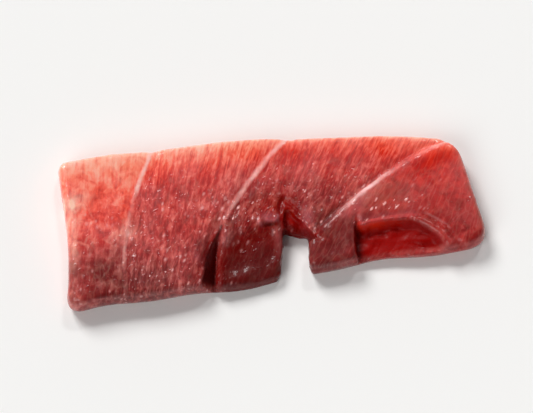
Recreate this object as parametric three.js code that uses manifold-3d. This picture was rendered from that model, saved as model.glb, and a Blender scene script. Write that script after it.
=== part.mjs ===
// One slice of bluefin tuna belly, cut for sashimi and lying on its lower cut face.
// It is a soft slab of four muscle segments. The white sinews between them run slantwise across it,
// and where they end at the lower long edge the flesh has parted in a slit, a notch and a scoop.
// Millimetres: X along the slice, Y across it, +Z up.

import * as THREE from "three";
import { mergeVertices } from "three/addons/utils/BufferGeometryUtils.js";
import Module from "manifold-3d";

// Driving dimensions
const LENGTH = 113; // along the middle, end to end
const WIDTH = 42; // at the broad left end
const THICKNESS = 8; // cut face to cut face
const END_DROP = 12.5; // how much narrower the right end is, all of it off the upper long edge
const DROP_POWER = 2.2; // how late along the slice that comes
const END_THINNING = 0.8; // how much thinner the slab is there
const LEFT_END = 0.8; // where the left end starts at its top
const LEFT_FLARE = { out: 4, height: 30 }; // how far it spreads to its lower corner, and from how far up
const RIGHT_END = 113.2; // where the right end starts at its foot
const RIGHT_SLANT = 0.12; // lean of the right end, sideways for each mm up it
const TOP_ROUND = 1.7; // rounding of the soft upper rim
const FOOT_ROUND = 0.7; // rounding where the slab meets what it lies on
const KNIFE_LINE = { rise: 0.3, run: 6.5, fade_in: 20 }; // uneven upper edge
const EDGE_DIP = { depth: 0.45, reach: 2.2 }; // small dips where the first two sinews reach that edge
// The uneven lower edge is two waves
const LONG_WAVE = { rise: 0.7, run: 11, start: 0.6 };
const SHORT_WAVE = { rise: 0.35, run: 4.1 };
// Places along the slice where a sinew meets its long edges, and how it leans and bends between them
const FIRST_SINEW = { foot: 13.5, top: 27, lean: 0.02, bend: 0.0078 };
const SECOND_SINEW = { foot: 32.3, top: 64.5, lean: 0.45, bend: 0.0102 };
// The third flattens out towards its end and runs straight on past it
const THIRD_SINEW = { x: 108.6, y: 29.5, climb: 0.0719, power: 1.51, past_end: 3 };
const CORNERS = { left_low: 5, left_high: 2.4, right_low: 6, right_high: 5 }; // radii in plan

// Relief of the shown face
const DOME = 0.35; // each muscle segment swells this much between its sinews
const CUT_OFF = { left: 6, right: 12 }; // how far the outer two segments would have run on past the ends
const SINEW_DIP = 0.25; // depth of the crease along a sinew
const SINEW_SPREAD = 1.6; // half width of that crease
const STEP = 0.8; // the last segment stands this much proud of its neighbour at their sinew
const STEP_RISE = 2; // width over which it rises
const STEP_RUN = 6; // width over which the proud edge sinks back into its segment
const KNIFE_WAVE = 0.22; // slow waves left by the drawn knife
const KNIFE_PITCH = 37;

// The tongue between slit and notch: it sinks below a curled lip, most in its middle
const TONGUE = { top: 15.5, drop: 3.4 };
const BY_SLIT = { x: 36.4, lean: 0.33, fade: 1.6 }; // where the sinking begins at the slit
const BY_NOTCH = { x: 60.5, fade: 3 }; // and where it ends at the notch
const BROW = 5.5; // length over which the tongue first falls away below the lip
const BROW_SHARE = 0.6; // share of its drop that it loses there
// The tongue's sides sink less
const TONGUE_RIM = { left: 38.6, left_lean: 0.19, right: 57.4, reach: 2, share: 0.35 };
const LIP = { x: 54.5, y: 16, reach_x: 4.5, reach_y: 1.5, rise: 0.6, bow: 0.03 };

// Places where the flesh has parted along the lower long edge, from the left end.
// Each is drawn in plan, from its left foot round its inner end to its right foot.
const SLIT = {
  // Narrow split whose walls meet just above the foot
  outline: [
    [31.4, -4],
    [32.6, 0],
    [34.3, 4.8],
    [37.3, 10.6],
    [41.7, 16.8],
    [40.6, 12],
    [38.9, 7],
    [37.9, 1.4],
    [38.9, -4],
  ],
  anchor: [36.8, -6],
  floor: 0.9,
  floor_share: 0.3,
  tilt: [0, 0], // how fast the floor climbs along X and along Y
};
// Gap right through the slice
const NOTCH = [
  [53.6, -1],
  [55.3, 0.8],
  [56.6, 4.4],
  [57.6, 8.6],
  [58.7, 12.9],
  [61.8, 11.4],
  [64.9, 9.8],
  [64.3, 5.4],
  [63.9, 1.2],
  [65.2, -1],
];
const THROAT = {
  // Torn hollow that runs from the notch up into the flesh
  outline: [
    [57.8, 8],
    [58, 13],
    [58.4, 17.4],
    [59.6, 20.6],
    [61.9, 18.9],
    [64.6, 14.9],
    [66.5, 11.1],
    [67.8, 8],
  ],
  anchor: [61.8, 7],
  floor: 1.8,
  floor_share: 0.66,
  tilt: [0, 0.35],
};
const SCOOP = {
  // Hollow where flesh has come away: steep on its left, where a split runs on, and sloping on its right
  outline: [
    [76.2, -4],
    [76.5, 3],
    [77, 8],
    [78.4, 12.4],
    [79.5, 10.6],
    [82.4, 11],
    [86.6, 11.1],
    [92.6, 10.9],
    [96.8, 9.8],
    [99.9, 7.4],
    [102.8, 4.3],
    [106.6, -4],
  ],
  anchor: [80, -4],
  floor: 2.7,
  floor_share: 0.8,
  tilt: [0.08, 0.03],
};

// Fineness of the mesh
const STEPS_ALONG = 76;
const STEPS_ACROSS = 29;
const RIM_ANGLES = [90, 62, 32, 0]; // quarter round of the upper rim, from the top face outwards
const FOOT_ANGLES = [0, 45, 90];

const CUTTER_OVERHANG = 4; // how far a cutting shape runs past what it cuts
const MERGE = 1e-4; // points closer than this are one
const FLESH = { color: 0xc9544c, roughness: 0.35, metalness: 0 };

const clamp01 = (t) => Math.min(1, Math.max(0, t));
const ease = (t) => clamp01(t) ** 2 * (3 - 2 * clamp01(t));
const bell = (t) => Math.exp(-t * t);

// Outline of the slab in plan
const highEdge = (x) =>
  WIDTH -
  END_DROP * clamp01(x / LENGTH) ** DROP_POWER +
  KNIFE_LINE.rise * Math.sin(x / KNIFE_LINE.run) * clamp01(x / KNIFE_LINE.fade_in) -
  EDGE_DIP.depth * bell((x - FIRST_SINEW.top) / EDGE_DIP.reach) -
  EDGE_DIP.depth * bell((x - SECOND_SINEW.top) / EDGE_DIP.reach);
const lowEdge = (x) =>
  LONG_WAVE.rise * Math.sin(x / LONG_WAVE.run + LONG_WAVE.start) +
  SHORT_WAVE.rise * Math.sin(x / SHORT_WAVE.run);
const leftEnd = (y) => LEFT_END - LEFT_FLARE.out * (1 - clamp01(y / LEFT_FLARE.height)) ** 2;
const rightEnd = (y) => RIGHT_END - RIGHT_SLANT * y;

// The three sinews, each as its place along the slice at a height y
const firstSinew = (y) => FIRST_SINEW.foot + FIRST_SINEW.lean * y + FIRST_SINEW.bend * y * y;
const secondSinew = (y) => SECOND_SINEW.foot + SECOND_SINEW.lean * y + SECOND_SINEW.bend * y * y;
const thirdSinew = (y) => {
  const { x, climb, power, past_end } = THIRD_SINEW;
  const below = THIRD_SINEW.y - y;
  return x - (below > 0 ? (below / climb) ** (1 / power) : past_end * below);
};
const sinewsAt = (y) => [firstSinew(y), secondSinew(y), thirdSinew(y)];

// Swell of the muscle segment that holds a point: none at its sinews, full midway between them
function segmentSwell(x, y) {
  const lastBound = Math.max(rightEnd(y), thirdSinew(y)) + CUT_OFF.right;
  const bounds = [leftEnd(y) - CUT_OFF.left, ...sinewsAt(y), lastBound];
  const right = bounds.findIndex((b) => b > x);
  if (right < 1) return 0;
  const share = (x - bounds[right - 1]) / (bounds[right] - bounds[right - 1]);
  return Math.sin(Math.PI * share);
}

// Distance from a sinew measured square to it, positive on its right
function beside(sinew, x, y) {
  const slope = sinew(y + 0.5) - sinew(y - 0.5);
  return (x - sinew(y)) / Math.hypot(1, slope);
}

function creases(x, y) {
  let dip = 0;
  for (const sinew of [firstSinew, secondSinew, thirdSinew])
    dip += SINEW_DIP * bell(beside(sinew, x, y) / SINEW_SPREAD);
  return dip;
}

function proudStep(x, y) {
  const aside = beside(thirdSinew, x, y);
  return STEP * ease(aside / STEP_RISE + 0.5) * (1 - ease((aside - STEP_RISE / 2) / STEP_RUN));
}

function tongue(x, y) {
  const rightOfSlit = ease((x - BY_SLIT.x - BY_SLIT.lean * y) / BY_SLIT.fade + 0.5);
  const leftOfNotch = ease((BY_NOTCH.x - x) / BY_NOTCH.fade + 0.5);
  const below = TONGUE.top - y;
  const fall = BROW_SHARE * ease(below / BROW) + (1 - BROW_SHARE) * ease(below / TONGUE.top);
  const leftSide = bell((x - TONGUE_RIM.left - TONGUE_RIM.left_lean * y) / TONGUE_RIM.reach);
  const rightSide = bell((x - TONGUE_RIM.right) / TONGUE_RIM.reach);
  const sides = 1 - TONGUE_RIM.share * Math.max(leftSide, rightSide);
  return TONGUE.drop * rightOfSlit * leftOfNotch * fall * sides;
}

function lip(x, y) {
  const line = LIP.y - LIP.bow * (x - LIP.x) ** 2;
  return LIP.rise * bell((x - LIP.x) / LIP.reach_x) * bell((y - line) / LIP.reach_y);
}

// Height of the shown face over the surface that the slice lies on
function faceHeight(x, y) {
  const knife = KNIFE_WAVE * Math.sin((x + 0.4 * y) / (KNIFE_PITCH / (2 * Math.PI)));
  const slab = THICKNESS - END_THINNING * clamp01(x / LENGTH) ** 2;
  const whole = slab - DOME + DOME * segmentSwell(x, y) + knife;
  return whole - creases(x, y) + proudStep(x, y) - tongue(x, y) + lip(x, y);
}

// Plan position of a point whose shares along and across are u and v, on an outline drawn in by inset
function plan(u, v, inset) {
  const middle = u * LENGTH;
  let y = lowEdge(middle) + inset + v * (highEdge(middle) - lowEdge(middle) - 2 * inset);
  const start = leftEnd(y) + inset;
  const end = rightEnd(y) - inset;
  let x = start + u * (end - start);
  const low = lowEdge(x) + inset;
  const high = highEdge(x) - inset;
  y = low + v * (high - low);
  const isLow = v < 0.5;
  const isLeft = u < 0.5;
  const corner = CORNERS[(isLeft ? "left" : "right") + (isLow ? "_low" : "_high")] - inset;
  const p = 1 - (isLeft ? x - start : end - x) / corner;
  const q = 1 - (isLow ? y - low : high - y) / corner;
  if (p > 0 && q > 0) {
    // A square corner becomes a quarter disc
    const pulledX = corner * (1 - p * Math.sqrt(1 - (q * q) / 2));
    const pulledY = corner * (1 - q * Math.sqrt(1 - (p * p) / 2));
    x = isLeft ? start + pulledX : end - pulledX;
    y = isLow ? low + pulledY : high - pulledY;
  }
  return [x, y];
}

// The levels of the slab's side, from the shown face down to the foot: inset, and height as a rule
function sideLevels() {
  const radians = THREE.MathUtils.degToRad;
  const rim = RIM_ANGLES.map((a) => ({
    inset: TOP_ROUND * (1 - Math.cos(radians(a))),
    height: (face) => face - TOP_ROUND * (1 - Math.sin(radians(a))),
  }));
  const foot = FOOT_ANGLES.map((a) => ({
    inset: FOOT_ROUND * (1 - Math.cos(radians(a))),
    height: () => FOOT_ROUND * (1 - Math.sin(radians(a))),
  }));
  return [...rim, ...foot];
}

// The steps round the edge of the shown face's grid, anticlockwise from its lower left corner
function rimSteps() {
  const steps = [];
  for (let i = 0; i < STEPS_ALONG; i++) steps.push([i, 0]);
  for (let j = 0; j < STEPS_ACROSS; j++) steps.push([STEPS_ALONG, j]);
  for (let i = STEPS_ALONG; i > 0; i--) steps.push([i, STEPS_ACROSS]);
  for (let j = STEPS_ACROSS; j > 0; j--) steps.push([0, j]);
  return steps;
}

// The whole slab: a grid for the shown face, rings down its sides and one flat face to lie on
function slabGeometry() {
  const [face, ...below] = sideLevels();
  const positions = [];
  const triangles = [];
  const addPoint = (i, j, level) => {
    const [x, y] = plan(i / STEPS_ALONG, j / STEPS_ACROSS, level.inset);
    positions.push(x, y, level.height(faceHeight(x, y)));
    return positions.length / 3 - 1;
  };
  const addQuad = (a, b, c, d) => triangles.push(a, b, c, a, c, d);

  const grid = [];
  for (let i = 0; i <= STEPS_ALONG; i++) {
    grid.push([]);
    for (let j = 0; j <= STEPS_ACROSS; j++) grid[i].push(addPoint(i, j, face));
  }
  for (let i = 0; i < STEPS_ALONG; i++)
    for (let j = 0; j < STEPS_ACROSS; j++)
      addQuad(grid[i][j], grid[i + 1][j], grid[i + 1][j + 1], grid[i][j + 1]);

  const steps = rimSteps();
  let upper = steps.map(([i, j]) => grid[i][j]);
  for (const level of below) {
    const lower = steps.map(([i, j]) => addPoint(i, j, level));
    for (let k = 0; k < steps.length; k++) {
      const next = (k + 1) % steps.length;
      addQuad(upper[k], lower[k], lower[next], upper[next]);
    }
    upper = lower;
  }
  const foot = upper.map((k) => new THREE.Vector2(positions[3 * k], positions[3 * k + 1]));
  for (const [a, b, c] of THREE.ShapeUtils.triangulateShape(foot, []))
    triangles.push(upper[a], upper[c], upper[b]);

  const slab = new THREE.BufferGeometry();
  slab.setAttribute("position", new THREE.Float32BufferAttribute(positions, 3));
  slab.setIndex(triangles);
  return slab;
}

// A smooth closed outline through the points given, run on below the slab's lower edge
function outlineShape(points, tail) {
  const [first] = points;
  const last = points[points.length - 1];
  const bend = new THREE.SplineCurve(points.map((p) => new THREE.Vector2(...p)));
  const run = bend.getPoints(points.length * 2);
  return new THREE.Shape([new THREE.Vector2(first[0], -tail), ...run, new THREE.Vector2(last[0], -tail)]);
}

// A cutter that goes right through the slab
function throughCut(points) {
  const depth = THICKNESS + 2 * CUTTER_OVERHANG;
  const shape = outlineShape(points, CUTTER_OVERHANG);
  const block = new THREE.ExtrudeGeometry(shape, { depth, bevelEnabled: false });
  return block.translate(0, 0, -CUTTER_OVERHANG);
}

// A cutter for a hollow: its outline, true at the slab's full thickness, draws in towards an anchor
// point on the way down to the floor
function hollowCut({ outline, anchor, floor, floor_share, tilt }) {
  const bend = new THREE.SplineCurve(outline.map((p) => new THREE.Vector2(...p)));
  const depth = THICKNESS + CUTTER_OVERHANG - floor;
  const shape = new THREE.Shape(bend.getPoints(outline.length * 2));
  const block = new THREE.ExtrudeGeometry(shape, { depth, bevelEnabled: false });
  const position = block.getAttribute("position");
  for (let i = 0; i < position.count; i++) {
    const height = position.getZ(i);
    const share = floor_share + ((1 - floor_share) * height) / (THICKNESS - floor);
    const x = anchor[0] + share * (position.getX(i) - anchor[0]);
    const y = anchor[1] + share * (position.getY(i) - anchor[1]);
    const climb = tilt[0] * (x - anchor[0]) + tilt[1] * (y - anchor[1]);
    position.setXYZ(i, x, y, floor + height + climb);
  }
  return block;
}

// A three.js geometry as a solid that can be cut, and back
function toSolid(wasm, geometry) {
  const bare = geometry.clone();
  bare.deleteAttribute("normal");
  bare.deleteAttribute("uv");
  const merged = mergeVertices(bare, MERGE);
  const vertProperties = new Float32Array(merged.getAttribute("position").array);
  const triVerts = new Uint32Array(merged.index.array);
  return new wasm.Manifold(new wasm.Mesh({ numProp: 3, vertProperties, triVerts }));
}

function toGeometry(solid) {
  const mesh = solid.getMesh();
  const geometry = new THREE.BufferGeometry();
  geometry.setAttribute("position", new THREE.BufferAttribute(mesh.vertProperties, 3));
  geometry.setIndex(new THREE.BufferAttribute(mesh.triVerts, 1));
  return geometry;
}

// Puts the middle of the slice's bounding box over the origin, with its foot at Z = 0
function centred(geometry) {
  geometry.computeBoundingBox();
  const middle = geometry.boundingBox.getCenter(new THREE.Vector3());
  geometry.translate(-middle.x, -middle.y, -geometry.boundingBox.min.z);
  geometry.computeVertexNormals();
  return geometry;
}

const wasm = await Module();
wasm.setup();
let solid = toSolid(wasm, slabGeometry());
for (const cut of [throughCut(NOTCH), hollowCut(SLIT), hollowCut(THROAT), hollowCut(SCOOP)])
  solid = solid.subtract(toSolid(wasm, cut));

const slice = new THREE.Mesh(centred(toGeometry(solid)), new THREE.MeshStandardMaterial(FLESH));
slice.name = "tuna_slice";

const part = new THREE.Group();
part.name = "tuna_belly_sashimi";
part.add(slice);

export default part;
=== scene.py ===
import math
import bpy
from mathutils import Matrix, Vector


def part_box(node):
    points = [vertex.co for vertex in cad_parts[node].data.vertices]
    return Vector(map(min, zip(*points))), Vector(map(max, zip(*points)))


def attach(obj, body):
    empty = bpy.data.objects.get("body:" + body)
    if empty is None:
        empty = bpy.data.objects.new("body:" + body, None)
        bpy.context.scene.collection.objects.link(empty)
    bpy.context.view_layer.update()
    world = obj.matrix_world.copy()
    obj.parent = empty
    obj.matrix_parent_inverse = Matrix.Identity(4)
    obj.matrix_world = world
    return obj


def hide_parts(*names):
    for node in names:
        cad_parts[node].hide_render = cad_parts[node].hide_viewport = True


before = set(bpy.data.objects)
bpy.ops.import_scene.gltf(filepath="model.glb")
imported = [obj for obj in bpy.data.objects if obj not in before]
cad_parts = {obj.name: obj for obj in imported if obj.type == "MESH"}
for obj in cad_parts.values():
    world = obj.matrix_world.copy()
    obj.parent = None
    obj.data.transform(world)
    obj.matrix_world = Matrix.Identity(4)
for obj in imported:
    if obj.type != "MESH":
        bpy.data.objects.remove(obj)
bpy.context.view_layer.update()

from types import SimpleNamespace

import bpy
import numpy as np
from mathutils import Vector, noise

# One slice of raw bluefin tuna belly, cut for sashimi, lying on a pale studio floor.
# The flesh is drawn in millimetres, x from the slice's left end and y from its torn lower edge,
# and moved into the frame's metres at the end.

MM = 0.001

# Plan of the slice
LENGTH = 113.0
WIDTH = 42.0
THICKNESS = 8.0
END_DROP = 12.5  # how much narrower the right end is, all of it off the upper long edge
DROP_POWER = 2.2  # how late along the slice that comes
END_THINNING = 0.8
LEFT_END = 0.8  # where the left end starts at its top
LEFT_FLARE = {"out": 4.0, "height": 30}  # how far it spreads to its lower corner, and from how far up
RIGHT_END = 113.2  # where the right end starts at its foot
RIGHT_SLANT = 0.12
TOP_ROUND = 1.7
FOOT_ROUND = 0.7
KNIFE_LINE = {"rise": 0.3, "run": 6.5, "fade_in": 20}  # uneven upper edge
EDGE_DIP = {"depth": 0.45, "reach": 2.2}
LONG_WAVE = {"rise": 0.7, "run": 11, "start": 0.6}  # the uneven lower edge is two waves
SHORT_WAVE = {"rise": 0.35, "run": 4.1}
# Places along the slice where a sinew meets its long edges, and how it leans and bends between them
FIRST_SINEW = {"foot": 13.5, "top": 27.0, "lean": 0.02, "bend": 0.0078}
SECOND_SINEW = {"foot": 32.3, "top": 64.5, "lean": 0.45, "bend": 0.0102}
# The third flattens out towards its end and runs straight on past it
THIRD_SINEW = {"x": 108.6, "y": 29.5, "climb": 0.0719, "power": 1.51, "past_end": 3}
CUT_OFF = {"left": 6, "right": 12}  # how far the outer two segments would have run on past the ends
CORNERS = {"left_low": 5.0, "left_high": 2.4, "right_low": 6.0, "right_high": 5.0}
WALL_BULGE = 0.35  # how far the soft side swells out at mid height

# Relief of the shown face
DOME = 0.35  # each muscle segment swells this much between its sinews
SINEW_DIPS = (0.12, 0.25, 0.25)
SINEW_RIDGES = (0.16, 0.3, 0)
SINEW_SPREAD = 1.6
RIDGE_WIDTH = 0.8
STEP = 0.8  # the last segment stands this much proud of its neighbour at their sinew
STEP_RISE = 2.0
STEP_RUN = 6.0
STEP_RIDGE = {"rise": 0.25, "right": 0.3, "width": 0.6}
STEP_GROOVE = {"depth": 0.2, "left": 1.1, "width": 0.7}
KNIFE_WAVE = 0.22
KNIFE_PITCH = 37.0
KNIFE_SLANT = 0.4

# The sunken tongue between slit and notch, and the lip above it
TONGUE = {"top": 15.5, "drop": 3.4, "uneven": 2.4, "waves": 4}
BY_SLIT = {"x": 36.4, "lean": 0.33, "fade": 1.6}
BY_NOTCH = {"x": 60.5, "fade": 3}
BROW = 5.5
BROW_SHARE = 0.6
TONGUE_RIM = {"left": 38.6, "left_lean": 0.19, "right": 57.4, "reach": 2, "share": 0.35}
LIP = {"x": 54.5, "y": 16.0, "reach_x": 4.5, "reach_y": 1.5, "rise": 0.6, "bow": 0.03}
CREASE = {"x": 55, "reach": 2.4, "below": 1.9, "width": 0.6, "depth": 0.7}
FOLDS = {"rise": 0.75, "stretch": 1.6, "size": 3.2}  # soft folds over the sunken tongue
CURLS = (
    [(57.6, 16.3), (57.1, 15.4), (56.2, 14.9), (55.1, 14.9), (54.3, 15.4)],
    [(52.2, 15.5), (52.3, 14.7), (52.9, 14.1)],
)
CURL_RISE = 0.3
CURL_WIDTH = 0.42

# Outlines of the tears along the lower edge, from left foot round the inner end to right foot
SLIT = [
    (31.4, -4), (32.6, 0), (34.3, 4.8), (37.3, 10.6), (41.7, 16.8),
    (40.6, 12), (38.9, 7), (37.9, 1.4), (38.9, -4),
]
NOTCH = [
    (53.6, -1), (55.3, 0.8), (56.6, 4.4), (57.6, 8.6), (58.7, 12.9),
    (61.8, 11.4), (64.9, 9.8), (64.3, 5.4), (63.9, 1.2), (65.2, -1),
]
THROAT = [
    (57.8, 8), (58, 13), (58.4, 17.4), (59.6, 20.6),
    (61.9, 18.9), (64.6, 14.9), (66.5, 11.1), (67.8, 8),
]
SCOOP = [
    (76.2, -4), (76.5, 3), (77, 8), (78.4, 12.4), (79.5, 10.6), (82.4, 11),
    (86.6, 11.1), (92.6, 10.9), (96.8, 9.8), (99.9, 7.4), (102.8, 4.3), (106.6, -4),
]
HOLLOWS = [
    {"outline": SLIT, "anchor": (36.8, -6), "floor": 0.9, "share": 0.3, "tilt": (0, 0)},
    {"outline": THROAT, "anchor": (61.8, 7), "floor": 1.8, "share": 0.66, "tilt": (0, 0.35), "bulge": 0.9},
    {"outline": SCOOP, "anchor": (80, -4), "floor": 2.7, "share": 0.8, "tilt": (0.08, 0.03)},
]
RAGGED = {"swing": 0.45, "coarse": 2.2, "fine": 0.9}  # how far a torn wall wanders from its outline
FLOOR_ROUGHNESS = 0.8
FLOOR_LUMPS = 2.4
BULGE_REACH = 2.5
LIP_ROLL = 1.0  # how far the face rolls down at a torn edge
ROLL_REACH = 1.6
SOFT_LOBE = {"x": 65, "y": 15, "reach": 4.5, "more": 1.2}  # where it rolls in more softly
CUTTER_OVERHANG = 4  # how far a cutting shape runs past what it cuts

# Fineness
ALONG = 240
ACROSS = 90
ROUND_STEPS = {"top": 9, "wall": 8, "foot": 6}
CUTTER_LEVELS = 14
CURVE_STEPS = 4  # points on a smooth outline for each one given, to measure from it
CUT_STEPS = 6  # and to cut along it
SKIN_CELL = 0.38  # size of the finished mesh's faces
RELAXED_TIMES = 3


def clamp01(t):
    return np.clip(t, 0.0, 1.0)


def ease(t):
    t = clamp01(t)
    return t * t * (3 - 2 * t)


def bell(t):
    return np.exp(-t * t)


def grow(value, none_at, full_at, least=0.0):
    """Soft change from least where the value is none_at to 1 where it is full_at."""
    return least + (1 - least) * ease((value - none_at) / (full_at - none_at))


def high_edge(x):
    reach = EDGE_DIP["reach"]
    dips = bell((x - FIRST_SINEW["top"]) / reach) + bell((x - SECOND_SINEW["top"]) / reach)
    wave = KNIFE_LINE["rise"] * np.sin(x / KNIFE_LINE["run"]) * clamp01(x / KNIFE_LINE["fade_in"])
    return WIDTH - END_DROP * clamp01(x / LENGTH) ** DROP_POWER + wave - EDGE_DIP["depth"] * dips


def low_edge(x):
    long_wave = LONG_WAVE["rise"] * np.sin(x / LONG_WAVE["run"] + LONG_WAVE["start"])
    return long_wave + SHORT_WAVE["rise"] * np.sin(x / SHORT_WAVE["run"])


def left_end(y):
    return LEFT_END - LEFT_FLARE["out"] * (1 - clamp01(y / LEFT_FLARE["height"])) ** 2


def right_end(y):
    return RIGHT_END - RIGHT_SLANT * y


def rising(sinew):
    return lambda y: sinew["foot"] + sinew["lean"] * y + sinew["bend"] * y * y


first_sinew = rising(FIRST_SINEW)
second_sinew = rising(SECOND_SINEW)


def third_sinew(y):
    below = THIRD_SINEW["y"] - y
    curved = (np.maximum(below, 0) / THIRD_SINEW["climb"]) ** (1 / THIRD_SINEW["power"])
    return THIRD_SINEW["x"] - np.where(below > 0, curved, THIRD_SINEW["past_end"] * below)


SINEWS = (first_sinew, second_sinew, third_sinew)


def beside(sinew, x, y):
    """Distance from a sinew measured square to it, positive on its right."""
    slope = sinew(y + 0.5) - sinew(y - 0.5)
    return (x - sinew(y)) / np.hypot(1, slope)


def segment_place(x, y):
    """Which muscle segment a point is in, as a number that is whole at each sinew."""
    last_bound = np.maximum(right_end(y), third_sinew(y)) + CUT_OFF["right"]
    bounds = [left_end(y) - CUT_OFF["left"], *(sinew(y) for sinew in SINEWS), last_bound]
    place = np.zeros_like(x)
    for low, high in zip(bounds, bounds[1:]):
        place += clamp01((x - low) / (high - low))
    return place


def wander(x, y, z, size, seed):
    """A smooth random swing of about a half either way, for one point or for an array of them."""
    if np.ndim(x) == 0:
        return noise.noise(Vector((x / size, y / size, z / size + seed)))
    points = zip(*(value.ravel() for value in np.broadcast_arrays(x, y, z)))
    return np.array([wander(*point, size, seed) for point in points]).reshape(x.shape)


def tongue_share(x, y):
    """How far the tongue between slit and notch has sunk, from 0 to 1. It sinks most in its middle."""
    right_of_slit = ease((x - BY_SLIT["x"] - BY_SLIT["lean"] * y) / BY_SLIT["fade"] + 0.5)
    left_of_notch = ease((BY_NOTCH["x"] - x) / BY_NOTCH["fade"] + 0.5)
    below = TONGUE["top"] - y + TONGUE["uneven"] * wander(x, 0 * y, 0, size=TONGUE["waves"], seed=12)
    fall = BROW_SHARE * ease(below / BROW) + (1 - BROW_SHARE) * ease(below / TONGUE["top"])
    from_left = (x - TONGUE_RIM["left"] - TONGUE_RIM["left_lean"] * y) / TONGUE_RIM["reach"]
    from_right = (x - TONGUE_RIM["right"]) / TONGUE_RIM["reach"]
    sides = np.maximum(bell(from_left), bell(from_right))
    return right_of_slit * left_of_notch * fall * (1 - TONGUE_RIM["share"] * sides)


def curled_lip(x, y):
    """How far a point is on the lip above the tongue, and in the crease under the lip's curled right end."""
    above = y - LIP["y"] + LIP["bow"] * (x - LIP["x"]) ** 2
    lip = bell((x - LIP["x"]) / LIP["reach_x"]) * bell(above / LIP["reach_y"])
    crease = bell((x - CREASE["x"]) / CREASE["reach"]) * bell((above + CREASE["below"]) / CREASE["width"])
    return lip, crease


def curled_rim(x, y):
    """How far a point is on one of the thin curled rims of the lip."""
    off = np.min([away_from(smooth_run(curl), x, y) for curl in CURLS], axis=0)
    return bell(off / CURL_WIDTH)


def face_height(x, y):
    knife = KNIFE_WAVE * np.sin((x + KNIFE_SLANT * y) * 2 * math.pi / KNIFE_PITCH)
    height = THICKNESS - END_THINNING * clamp01(x / LENGTH) ** 2 - DOME + knife
    height += DOME * np.abs(np.sin(math.pi * segment_place(x, y)))
    for sinew, dip, ridge in zip(SINEWS, SINEW_DIPS, SINEW_RIDGES):
        apart = beside(sinew, x, y)
        height = height - dip * bell(apart / SINEW_SPREAD) + ridge * bell(apart / RIDGE_WIDTH)
    aside = beside(third_sinew, x, y)
    height += STEP * ease(aside / STEP_RISE + 0.5) * (1 - ease((aside - STEP_RISE / 2) / STEP_RUN))
    lip, crease = curled_lip(x, y)
    height += LIP["rise"] * lip - CREASE["depth"] * crease + CURL_RISE * curled_rim(x, y)
    # The proud segment ends in a sharp ridge with a groove along its left
    height += STEP_RIDGE["rise"] * bell((aside - STEP_RIDGE["right"]) / STEP_RIDGE["width"])
    height -= STEP_GROOVE["depth"] * bell((aside + STEP_GROOVE["left"]) / STEP_GROOVE["width"])
    sunk = tongue_share(x, y)
    folds = wander(x / FOLDS["stretch"], y, 0, size=FOLDS["size"], seed=60)
    return height - TONGUE["drop"] * sunk + FOLDS["rise"] * sunk * folds


def segment_number(x, y):
    """Which muscle segment a point is in, from 0 to 3, with a soft change at each sinew."""
    return sum(ease(beside(sinew, x, y) / 3 + 0.5) for sinew in SINEWS)


def rolled_face(x, y):
    """The face with its edges rolled down where it has torn."""
    torn_edges = [smooth_run(outline) for outline in (SLIT, NOTCH, THROAT, SCOOP)]
    from_edge = np.min([away_from(edge, x, y) for edge in torn_edges], axis=0)
    from_lobe = np.hypot(x - SOFT_LOBE["x"], y - SOFT_LOBE["y"])
    reach = ROLL_REACH * (1 + SOFT_LOBE["more"] * bell(from_lobe / SOFT_LOBE["reach"]))
    return face_height(x, y) - LIP_ROLL * clamp01(1 - from_edge / reach) ** 2


def plan(u, v, inset):
    """Plan place of points whose shares along and across are u and v, on an outline drawn in by inset."""
    middle = u * LENGTH
    y = low_edge(middle) + inset + v * (high_edge(middle) - low_edge(middle) - 2 * inset)
    start, end = left_end(y) + inset, right_end(y) - inset
    x = start + u * (end - start)
    low, high = low_edge(x) + inset, high_edge(x) - inset
    y = low + v * (high - low)
    left, lower = u < 0.5, v < 0.5
    corner = np.where(
        left,
        np.where(lower, CORNERS["left_low"], CORNERS["left_high"]),
        np.where(lower, CORNERS["right_low"], CORNERS["right_high"]),
    ) - inset
    p = 1 - np.where(left, x - start, end - x) / corner
    q = 1 - np.where(lower, y - low, high - y) / corner
    inside = (p > 0) & (q > 0)
    p, q = clamp01(p), clamp01(q)
    # A square corner becomes a quarter disc
    pulled_x = corner * (1 - p * np.sqrt(1 - q * q / 2))
    pulled_y = corner * (1 - q * np.sqrt(1 - p * p / 2))
    x = np.where(inside, np.where(left, start + pulled_x, end - pulled_x), x)
    y = np.where(inside, np.where(lower, low + pulled_y, high - pulled_y), y)
    return x, y


def side_levels():
    """The slab's levels from the shown face down to the foot.
    Each is an inset, and a function that gives the level's height from the face's."""
    levels = []
    for angle in np.radians(np.linspace(90, 0, ROUND_STEPS["top"])):
        drop = TOP_ROUND * (1 - math.sin(angle))
        levels.append((TOP_ROUND * (1 - math.cos(angle)), lambda face, drop=drop: face - drop))
    for t in np.linspace(0, 1, ROUND_STEPS["wall"])[1:-1]:
        bulge = -WALL_BULGE * math.sin(math.pi * t)
        levels.append((bulge, lambda face, t=t: (1 - t) * (face - TOP_ROUND) + t * FOOT_ROUND))
    for angle in np.radians(np.linspace(0, 90, ROUND_STEPS["foot"])):
        height = FOOT_ROUND * (1 - math.sin(angle))
        levels.append((FOOT_ROUND * (1 - math.cos(angle)), lambda face, height=height: 0 * face + height))
    return levels


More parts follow.
